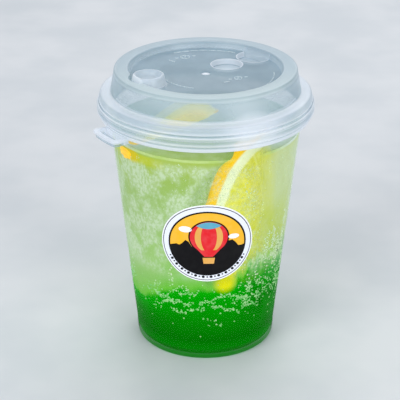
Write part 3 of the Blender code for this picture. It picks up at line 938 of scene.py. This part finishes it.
def lidBody():
    wall = lid["wall"]
    plug = innerWall(lid["plugFoot"]) - 0.6 * mm
    corners = [
        (0.0, lid["floor"], 0),
        (lid["recessRadius"] - 0.5 * mm, lid["floor"], 0.8 * mm),
        (lid["recessRadius"] + 0.2 * mm, lid["top"], 0.45 * mm),
        (lid["domeTop"] - 0.1 * mm, lid["top"], 0.7 * mm),
        (lid["domeFoot"], lid["shoulder"] + 0.2 * mm, 0.6 * mm),
        (lid["domeFoot"] + 1.2 * mm, lid["shoulder"], 0.3 * mm),
        (lid["shoulderRadius"] - 0.2 * mm, lid["shoulder"] - 0.1 * mm, 1.3 * mm),
        (lid["shoulderRadius"], lid["groove"] + 1.3 * mm, 0.1 * mm),
        (lid["shoulderRadius"] + 0.35 * mm, lid["groove"] + 0.95 * mm, 0.15 * mm),
        (lid["shoulderRadius"] + 0.2 * mm, lid["groove"] + 0.5 * mm, 0.15 * mm),
        (lid["grooveRadius"], lid["groove"] + 0.1 * mm, 0.15 * mm),
        (lid["skirtRadius"] - 0.6 * mm, lid["groove"] - 0.1 * mm, 0.25 * mm),
        (lid["skirtRadius"] - 0.45 * mm, lid["groove"] - 0.7 * mm, 0.1 * mm),
        (lid["skirtRadius"] - 0.1 * mm, lid["groove"] - 0.9 * mm, 0.15 * mm),
        (lid["skirtRadius"] - 0.15 * mm, lid["groove"] - 1.4 * mm, 0.1 * mm),
        (lid["skirtRadius"] - 0.35 * mm, lid["groove"] - 1.9 * mm, 0.3 * mm),
        (lid["skirtRadius"] - 0.35 * mm, lid["skirtFoot"] + 1.8 * mm, 0.3 * mm),
        (lid["skirtRadius"], lid["skirtFoot"] + 1.3 * mm, 0.3 * mm),
        (lid["skirtRadius"] - 0.1 * mm, lid["skirtFoot"] + 0.7 * mm, 0.3 * mm),
        (lid["lipRadius"] - 0.1 * mm, lid["skirtFoot"] + 0.1 * mm, 0.2 * mm),
        (lid["lipRadius"] + 0.35 * mm, lid["skirtFoot"] - 0.5 * mm, 0.35 * mm),
        (lid["lipRadius"] + 0.25 * mm, lid["lipFoot"], 0.5 * mm),
        (lid["lipRadius"] - 1.2 * mm, lid["lipFoot"], 0.3 * mm),
        (lid["lipRadius"] - 1.2 * mm, lid["skirtFoot"] - 0.2 * mm, 0.3 * mm),
        (46.4 * mm, lid["skirtFoot"] + 1.3 * mm, 0.3 * mm),
        (46.4 * mm, lid["groove"] - 1.4 * mm, 0.4 * mm),
        (cup["rimRadius"] - 0.1 * mm, lid["groove"] + 0.2 * mm, 0.3 * mm),
        (lid["shoulderRadius"] - 1.2 * mm, lid["shoulder"] - 1.3 * mm, 0.3 * mm),
        (plug + 0.3 * mm, lid["shoulder"] - 1.3 * mm, 0.3 * mm),
        (plug, lid["plugFoot"] + 1.0 * mm, 0.3 * mm),
        (plug - wall, lid["plugFoot"], 0.2 * mm),
        (plug - wall, lid["shoulder"] - 1.0 * mm, 0.4 * mm),
        (lid["domeTop"] - wall, lid["top"] - 0.9 * mm, 0.8 * mm),
        (lid["recessRadius"] + wall, lid["top"] - 0.9 * mm, 0.7 * mm),
        (lid["recessRadius"] + 0.2 * mm, lid["floor"] - wall, 0.4 * mm),
        (0.0, lid["floor"] - wall, 0),
    ]
    return turn(corners, lid["steps"])


def placed(bm, place):
    bmesh.ops.translate(bm, verts=bm.verts, vec=place)
    return bm


def fillRing(piece, place, radius, top):
    # fills the hollow ring round a round place that runs into it, so that a bay can be cut there
    wall = lid["wall"]
    low = lid["floor"] - 1.5 * wall
    reach = radius + 1.2 * wall
    corners = [(0.0, low, 0), (reach, low, 0), (reach, top, 0), (0.0, top, 0)]
    plug = keep(placed(turn(corners, lid["wellSteps"]), place), "plug")
    inside = lid["recessRadius"] + wall / 2
    high = top + 2 * mm
    corners = [(0.0, low - mm, 0), (inside, low - mm, 0), (inside, high, 0), (0.0, high, 0)]
    join(plug, turn(corners, lid["steps"]), "DIFFERENCE")
    extra = bmesh.new()
    extra.from_mesh(plug.data)
    bpy.data.objects.remove(plug)
    join(piece, extra, "UNION")


def addSpout(piece):
    low = lid["floor"] - lid["wall"] / 2
    top = spout["top"]
    fillRing(piece, spout["place"], spout["bay"] - 0.4 * mm, lid["top"] - 0.3 * mm)
    bay = turn([
        (0.0, lid["floor"], 0),
        (spout["bay"], lid["floor"], 0.6 * mm),
        (spout["bay"] + 0.5 * mm, top + mm, 0),
        (0.0, top + mm, 0),
    ], lid["wellSteps"])
    join(piece, placed(bay, spout["place"]), "DIFFERENCE")
    body = turn([
        (0.0, low, 0),
        (spout["footRadius"], low, 0),
        (spout["topRadius"], top, 0.45 * mm),
        (0.0, top, 0),
    ], lid["wellSteps"])
    join(piece, placed(body, spout["place"]), "UNION")
    inner = spout["topRadius"] - spout["wall"]
    dish = top - spout["dish"]
    hollow = turn([
        (0.0, dish, 0),
        (inner - 0.5 * mm, dish + 0.3 * mm, 1.6 * mm),
        (inner, top - 0.4 * mm, 0.2 * mm),
        (inner + 0.4 * mm, top + 2 * mm, 0),
        (0.0, top + 2 * mm, 0),
    ], lid["wellSteps"])
    join(piece, placed(hollow, spout["place"]), "DIFFERENCE")


def addWell(piece, place, radius):
    wall = lid["wall"]
    floor = lid["floor"] - wellDepth
    roof = lid["top"] + mm
    if place.length + radius > lid["recessRadius"]:
        fillRing(piece, place, radius, lid["top"] - 0.3 * mm)
        roof = lid["top"] - 1.1 * mm
    shell = turn([
        (0.0, floor - wall, 0),
        (radius + 0.7 * wall, floor - wall, 0.9 * mm),
        (radius + wall, lid["floor"] - 0.3 * mm, 0),
        (0.0, lid["floor"] - 0.3 * mm, 0),
    ], lid["wellSteps"])
    join(piece, placed(shell, place), "UNION")
    hollow = turn([
        (0.0, floor, 0),
        (radius, floor, 0.8 * mm),
        (radius, lid["floor"] - 0.3 * mm, 0.3 * mm),
        (radius + 0.5 * mm, lid["floor"] + 0.3 * mm, 0.2 * mm),
        (radius + 0.4 * mm, roof, 0.6 * mm),
        (0.0, roof, 0),
    ], lid["wellSteps"])
    join(piece, placed(hollow, place), "DIFFERENCE")


def addGate(piece):
    floor = lid["floor"]
    dimple = turn([
        (0.0, floor - 0.1 * mm, 0),
        (0.7 * mm, floor - 0.1 * mm, 0),
        (1.1 * mm, floor - 0.5 * mm, 0.1 * mm),
        (2.0 * mm, floor - 0.5 * mm, 0.1 * mm),
        (2.6 * mm, floor + mm, 0),
        (0.0, floor + mm, 0),
    ], 32)
    join(piece, dimple, "DIFFERENCE")


def roundEdges(bm, edges, offset, segments):
    bmesh.ops.bevel(
        bm, geom=edges, offset=offset, offset_type="OFFSET", segments=segments,
        profile=0.5, affect="EDGES", material=-1, clamp_overlap=True,
    )


def tabBlock(inset, low, high):
    # a ring sector with round outer corners, made by bevelling its upright outer edges
    outer = tab["reach"] - inset
    half = tab["half"] - inset / tab["reach"]
    steps = 8
    turns = [-half + 2 * half * step / steps for step in range(steps + 1)]
    corners = [(outer, angle) for angle in turns] + [(tab["root"], half), (tab["root"], -half)]
    bm = bmesh.new()
    face = bm.faces.new([
        bm.verts.new((reach * math.cos(angle), reach * math.sin(angle), low)) for reach, angle in corners
    ])
    extrude(bm, face, high - low)
    ends = []
    for edge in bm.edges:
        first, second = edge.verts
        upright = abs(first.co.z - second.co.z) > 0.5 * (high - low)
        outermost = first.co.xy.length > outer - 0.1 * mm
        if upright and outermost and abs(math.atan2(first.co.y, first.co.x)) > half * 0.99:
            ends.append(edge)
    roundEdges(bm, ends, tab["corner"] - inset, 6)
    bmesh.ops.recalc_face_normals(bm, faces=bm.faces)
    soft = [edge for edge in bm.edges if abs(edge.verts[0].co.z - edge.verts[1].co.z) < 1e-6
            and max(v.co.xy.length for v in edge.verts) > tab["root"] + mm]
    roundEdges(bm, soft, tab["edge"], 2)
    bmesh.ops.rotate(bm, verts=bm.verts, cent=(0, 0, 0), matrix=Matrix.Rotation(tab["direction"], 3, "Z"))
    return bm


def addTab(piece):
    wall = tab["wall"]
    join(piece, tabBlock(tab["inset"], tab["foot"], tab["flange"] + 0.4 * mm), "UNION")
    join(piece, tabBlock(0.0, tab["flange"], tab["top"]), "UNION")
    pocket = keep(tabBlock(tab["inset"] + wall, tab["foot"] + wall, tab["top"] + mm), "pocket")
    reach = lid["lipRadius"] + wall
    limit = turn([(0.0, tab["foot"], 0), (reach, tab["foot"], 0), (reach, tab["top"] + 2 * mm, 0),
                  (0.0, tab["top"] + 2 * mm, 0)], lid["steps"])
    join(pocket, limit, "DIFFERENCE")
    hollow = bmesh.new()
    hollow.from_mesh(pocket.data)
    bpy.data.objects.remove(pocket)
    join(piece, hollow, "DIFFERENCE")


def markBar(bm, x, y, wide, deep, angle):
    # one raised bar with rounded ends on the sunk top
    made = bmesh.ops.create_circle(bm, cap_ends=True, radius=0.5, segments=12)["verts"]
    lifted = extrude(bm, made[0].link_faces[0], 1.0)
    verts = made + lifted
    bmesh.ops.scale(bm, verts=lifted, vec=(0.8, 0.7, 1.0))
    for vert in verts:
        if abs(vert.co.x) > 0.01:
            vert.co.x += math.copysign(max(0.0, wide / deep - 1.0) / 2, vert.co.x)
    bmesh.ops.scale(bm, verts=verts, vec=(deep, deep, marks["rise"]))
    bmesh.ops.rotate(bm, verts=verts, cent=(0, 0, 0), matrix=Matrix.Rotation(angle, 3, "Z"))
    bmesh.ops.translate(bm, verts=verts, vec=(x, y, lid["floor"] - marks["sunk"]))


marks = {
    "rise": 0.35 * mm,
    "sunk": 0.08 * mm,
    "arcRadius": 29.6 * mm,
    "arcs": ((64, 118, 22), (322, 360, 15)),
    "innerArc": (208, 252, 9, 19.2 * mm),
    "rings": ((-9.1, 20.6, 2.0), (13.9, -6.3, 1.6)),
    "bars": (
        (-14.8, 15.3, 3.6, -0.75), (8.7, -11.2, 3.2, 0.5), (-5.2, 22.2, 1.6, 0.3),
        (-12.8, 19.0, 1.6, 0.3), (17.3, -5.0, 1.5, 0.2), (10.6, -7.8, 1.5, 0.2),
    ),
}


def makeMarks(material):
    # plain raised dots, dashes and rings where such lids carry their moulding marks
    bm = bmesh.new()
    for start, end, count in marks["arcs"]:
        for step in range(count):
            angle = math.radians(start + (end - start) * step / (count - 1))
            x = marks["arcRadius"] * math.cos(angle)
            y = marks["arcRadius"] * math.sin(angle)
            markBar(bm, x, y, (0.8 + 0.6 * (step % 3)) * mm, 0.7 * mm, angle + math.pi / 2)
    start, end, count, radius = marks["innerArc"]
    for step in range(count):
        angle = math.radians(start + (end - start) * step / (count - 1))
        x = radius * math.cos(angle)
        y = radius * math.sin(angle)
        markBar(bm, x, y, 1.6 * mm, 0.5 * mm, angle + math.pi / 2)
    for x, y, radius in marks["rings"]:
        for step in range(14):
            angle = math.tau * step / 14
            markBar(bm, (x + radius * math.cos(angle)) * mm, (y + radius * math.sin(angle)) * mm,
                    1.0 * mm, 0.45 * mm, angle + math.pi / 2)
        markBar(bm, x * mm, y * mm, 0.8 * mm, 0.8 * mm, 0.0)
    for x, y, wide, angle in marks["bars"]:
        markBar(bm, x * mm, y * mm, wide * mm, 0.6 * mm, angle)
    bmesh.ops.recalc_face_normals(bm, faces=bm.faces)
    piece = keep(bm, "lid_marks", material, sharp=30)
    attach(piece, "root")


def markPlastic():
    finish = Finish("markPlastic")
    grain = finish.cloud(finish.point(), 0.6, 2.0)
    colour = finish.blend(grain.rise(0.3, 0.7), tint(200, 216, 224), tint(222, 234, 240))
    # painted glow: the marks give off a little light of their own colour
    body = finish.principled(Base_Color=colour, Roughness=0.5, Emission_Color=colour, Emission_Strength=0.1)
    see = finish.node("BsdfTransparent", sockets={"Color": (1.0, 1.0, 1.0)})
    return finish.close(finish.layer(grain.rise(0.2, 0.9) * 0.3 + 0.3, see, body))


def makeLid():
    frosted = frostedPlastic()
    makeMarks(markPlastic())
    piece = keep(lidBody(), "frosted_lid", frosted)
    addSpout(piece)
    for place, radius in wells.values():
        addWell(piece, place, radius)
    addGate(piece)
    addTab(piece)
    piece.data.shade_smooth()
    piece.data.set_sharp_from_angle(angle=math.radians(35))
    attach(piece, "root")
    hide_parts("lid")
    print("lid done")


# Label: a round sticker with a plain picture of a balloon over hills

label = {
    "radius": 19.3 * mm,
    "height": 61.6 * mm,
    "direction": math.radians(-89.0),
    "gap": 0.05 * mm,
    "film": 0.35 * mm,
    "ink": 0.05 * mm,
    "strip": 1.5 * mm,
    "widen": 1.045,
    "outerLine": 0.968,  # shares of the label's reach
    "paleRing": 0.950,
    "picture": 0.80,
    "dotRing": 0.878,
    "dots": 25,
}
balloon = {  # in millimetres on the flat label
    "x": 0.6,
    "y": 3.4,
    "radius": 7.7,
    "edge": 0.6,
    "gores": ((-0.74, -0.42), (0.42, 0.74)),
    "basket": ((-1.5, -9.9), (2.7, -9.9), (3.1, -6.9), (-1.9, -6.9)),
}


def printFinish(name, colour, fading=0.05, glow=0.08):
    finish = Finish(name)
    place = finish.point()
    fade = finish.cloud(place, 3.0, 3.0).rise(0.3, 0.8)
    shaded = finish.blend(fade * fading, colour, (0.9, 0.9, 0.9))
    grain = finish.bump(finish.cloud(place, 0.4, 2.0), 0.02 * mm, 0.3)
    # painted glow: the print gives off light of its own colour, more on the white film and the pale ink
    body = finish.principled(
        Base_Color=shaded, Roughness=0.45, Normal=grain, Specular_IOR_Level=0.15,
        Emission_Color=shaded, Emission_Strength=glow,
    )
    return finish.close(body)


def discOutline(radius, x=0.0, y=0.0, steps=72, wide=1.0):
    points = []
    for step in range(steps):
        angle = math.tau * step / steps
        points.append((x + wide * radius * math.cos(angle), y + radius * math.sin(angle)))
    return points


def wrapOnCup(bm):
    tilt = math.atan(cup["slope"])
    for vert in bm.verts:
        height = label["height"] + vert.co.y * math.cos(tilt)
        angle = label["direction"] + vert.co.x * label["widen"] / outerWall(height)
        reach = outerWall(height) + label["gap"] + vert.co.z
        vert.co = (reach * math.cos(angle), reach * math.sin(angle), height)


def layerOf(outlines, level, name, material):
    bm = bmesh.new()
    for outline in outlines:
        base = label["film"] + (level - 1.6) * label["ink"] if level else 0.0
        top = label["film"] + level * label["ink"]
        face = bm.faces.new([bm.verts.new((x * mm, y * mm, base)) for x, y in outline])
        extrude(bm, face, top - base)
    bmesh.ops.recalc_face_normals(bm, faces=bm.faces)
    strip = label["strip"]
    count = int(label["radius"] / strip)
    for step in range(-count, count + 1):
        for normal in ((1, 0, 0), (0, 1, 0)):
            geometry = bm.verts[:] + bm.edges[:] + bm.faces[:]
            place = tuple(step * strip * n for n in normal)
            bmesh.ops.bisect_plane(bm, geom=geometry, plane_co=place, plane_no=normal, dist=1e-7)
    wrapOnCup(bm)
    piece = keep(bm, name, material)
    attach(piece, "root")
    return piece


def makeLabel():
    full = label["radius"] / mm
    white = printFinish("whiteFilm", tint(242, 244, 250), 0.02, 0.16)
    dark = printFinish("darkInk", tint(10, 8, 12), 0.004)
    pale = printFinish("paleBlueInk", tint(232, 236, 248), 0.02, 0.16)
    amber = printFinish("amberInk", tint(252, 190, 44))
    red = printFinish("redInk", tint(230, 34, 44))
    tan = printFinish("tanInk", tint(232, 172, 84))
    teal = printFinish("tealInk", tint(92, 170, 196))
    film = layerOf([discOutline(full)], 0, "label_film", white)
    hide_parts("label")
    layerOf([discOutline(full * label["outerLine"])], 1, "label_outer_line", dark)
    layerOf([discOutline(full * label["paleRing"])], 2, "label_pale_ring", pale)
    inner = full * label["picture"]
    layerOf([discOutline(inner + 0.75)], 3, "label_inner_line", dark)
    layerOf([discOutline(inner)], 4, "label_sky", amber)
    layerOf([hillOutline(inner)], 5, "label_hills", dark)
    x, y, radius = balloon["x"], balloon["y"], balloon["radius"]
    layerOf([balloonOutline(x, y, radius + balloon["edge"])], 6, "label_balloon_edge", dark)
    layerOf([balloonOutline(x, y, radius)], 7, "label_balloon", red)
    gores = [stripeOutline(x, y, radius, low, high) for low, high in balloon["gores"]]
    layerOf(gores, 8, "label_balloon_gores", tan)
    layerOf([capOutline(x, y, radius)], 9, "label_balloon_cap", teal)
    layerOf([balloon["basket"]], 9, "label_basket", tan)
    clouds = [discOutline(1.5, -9.0, 7.0, 24, 1.8), discOutline(1.2, 10.8, 3.2, 24, 1.9)]
    layerOf(clouds, 6, "label_clouds", white)
    dots = []
    for step in range(label["dots"]):
        angle = math.radians(205 + step * 130 / (label["dots"] - 1))
        reach = full * label["dotRing"]
        size = 0.62 if step % 2 else 0.36
        dots.append(discOutline(size, reach * math.cos(angle), reach * math.sin(angle), 16))
    layerOf(dots, 3, "label_ring_dots", dark)
    print("label done")


def hillOutline(radius):
    # the lower field: a ridge line between two places on the picture's edge
    start = math.radians(186)
    end = math.radians(354)
    angles = [start + (end - start) * step / 48 for step in range(49)]
    edge = [(radius * math.cos(angle), radius * math.sin(angle)) for angle in angles]
    left, right = edge[0], edge[-1]
    ridge = []
    for step in range(1, 24):
        x = right[0] + (left[0] - right[0]) * step / 24
        peak = 3.6 * math.exp(-((x - 8.5) / 3.0) ** 2) + 2.6 * math.exp(-((x + 9.0) / 2.6) ** 2)
        ridge.append((x, right[1] + peak + 0.8 * math.sin(1.3 * x)))
    return edge + ridge


def balloonOutline(x, y, radius):
    # a circle that narrows to the mouth under it
    points = []
    steps = 60
    for step in range(steps + 1):
        angle = math.radians(-52 + 284 * step / steps)
        points.append((x + radius * math.cos(angle), y + radius * math.sin(angle)))
    mouth = y - radius * 1.28
    return points + [(x - radius * 0.22, mouth), (x + radius * 0.22, mouth)]


def stripeOutline(x, y, radius, low, high):
    # one gore: the part of the envelope between two meridians
    steps = 20
    upwards = [math.radians(-58 + 148 * step / steps) for step in range(steps + 1)]
    points = []
    for share, angles in ((low, upwards), (high, reversed(upwards))):
        for angle in angles:
            points.append((x + share * radius * math.cos(angle), y + radius * math.sin(angle) * 0.985))
    return points


def capOutline(x, y, radius):
    points = []
    for step in range(25):
        angle = math.radians(48 + 84 * step / 24)
        points.append((x + radius * 0.985 * math.cos(angle), y + radius * 0.985 * math.sin(angle)))
    left, right = points[-1], points[0]
    sag = [(left[0] + (right[0] - left[0]) * step / 12,
            left[1] - 1.4 * math.sin(math.pi * step / 12)) for step in range(1, 12)]
    return points + sag


# Floor, light and camera

studio = {
    "floor": 6.0,
    "floorColour": (206, 211, 216),
    "floorLight": (218, 221, 225),
    "world": 0.6,
    "worldColour": (0.93, 0.96, 1.0),
    "lamps": {  # place, size and power
        "key": ((-0.55, -0.65, 0.60), 0.5, 3.5),
        "fill": ((0.52, -0.70, 0.40), 0.5, 2.5),
        "back": ((0.1, 0.6, 0.7), 0.6, 2.5),
    },
}
camera = {
    "target": Vector((-2.48, 0.0, 64.6)) * mm,
    "distance": 650 * mm,
    "elevation": math.radians(25.1),
    "sensor": 36.0,
    "lens": 129.9,
    "near": 0.01,
}


def makeStudio():
    bm = bmesh.new()
    bmesh.ops.create_grid(bm, x_segments=1, y_segments=1, size=studio["floor"] / 2)
    finish = Finish("paleFloor")
    soft = finish.cloud(finish.point(), 60.0, 3.0)
    colour = finish.blend(soft.rise(0.3, 0.7), tint(*studio["floorColour"]), tint(*studio["floorLight"]))
    floor = keep(bm, "floor", finish.close(finish.principled(Base_Color=colour, Roughness=0.7)))

    world = bpy.data.worlds.new("studio")
    bpy.context.scene.world = world
    world.use_nodes = True
    back = world.node_tree.nodes["Background"]
    back.inputs["Color"].default_value = (*studio["worldColour"], 1.0)
    back.inputs["Strength"].default_value = studio["world"]

    for name, (place, size, power) in studio["lamps"].items():
        data = bpy.data.lights.new(name, "AREA")
        data.shape = "SQUARE"
        data.size = size
        data.energy = power
        lamp = bpy.data.objects.new(name, data)
        lamp.location = place
        lamp.rotation_euler = (camera["target"] - Vector(place)).to_track_quat("-Z", "Y").to_euler()
        bpy.context.scene.collection.objects.link(lamp)


def makeCamera():
    data = bpy.data.cameras.new("view")
    data.sensor_width = camera["sensor"]
    data.lens = camera["lens"]
    data.clip_start = camera["near"]
    eye = bpy.data.objects.new("view", data)
    tilt = camera["elevation"]
    away = Vector((0.0, -math.cos(tilt), math.sin(tilt))) * camera["distance"]
    eye.location = camera["target"] + away
    eye.rotation_euler = (-away).to_track_quat("-Z", "Y").to_euler()
    bpy.context.scene.collection.objects.link(eye)
    bpy.context.scene.camera = eye


makeCamera()
makeStudio()
makeCup()
makeDrink()
for spec in (rightSlice, leftSlice):
    makeSlice(spec)
print("slices done")
makeFizz()
makeLid()
makeLabel()

scene = bpy.context.scene
scene.view_settings.view_transform = "Standard"
scene.cycles.use_denoising = True
scene.cycles.transparent_max_bounces = 32
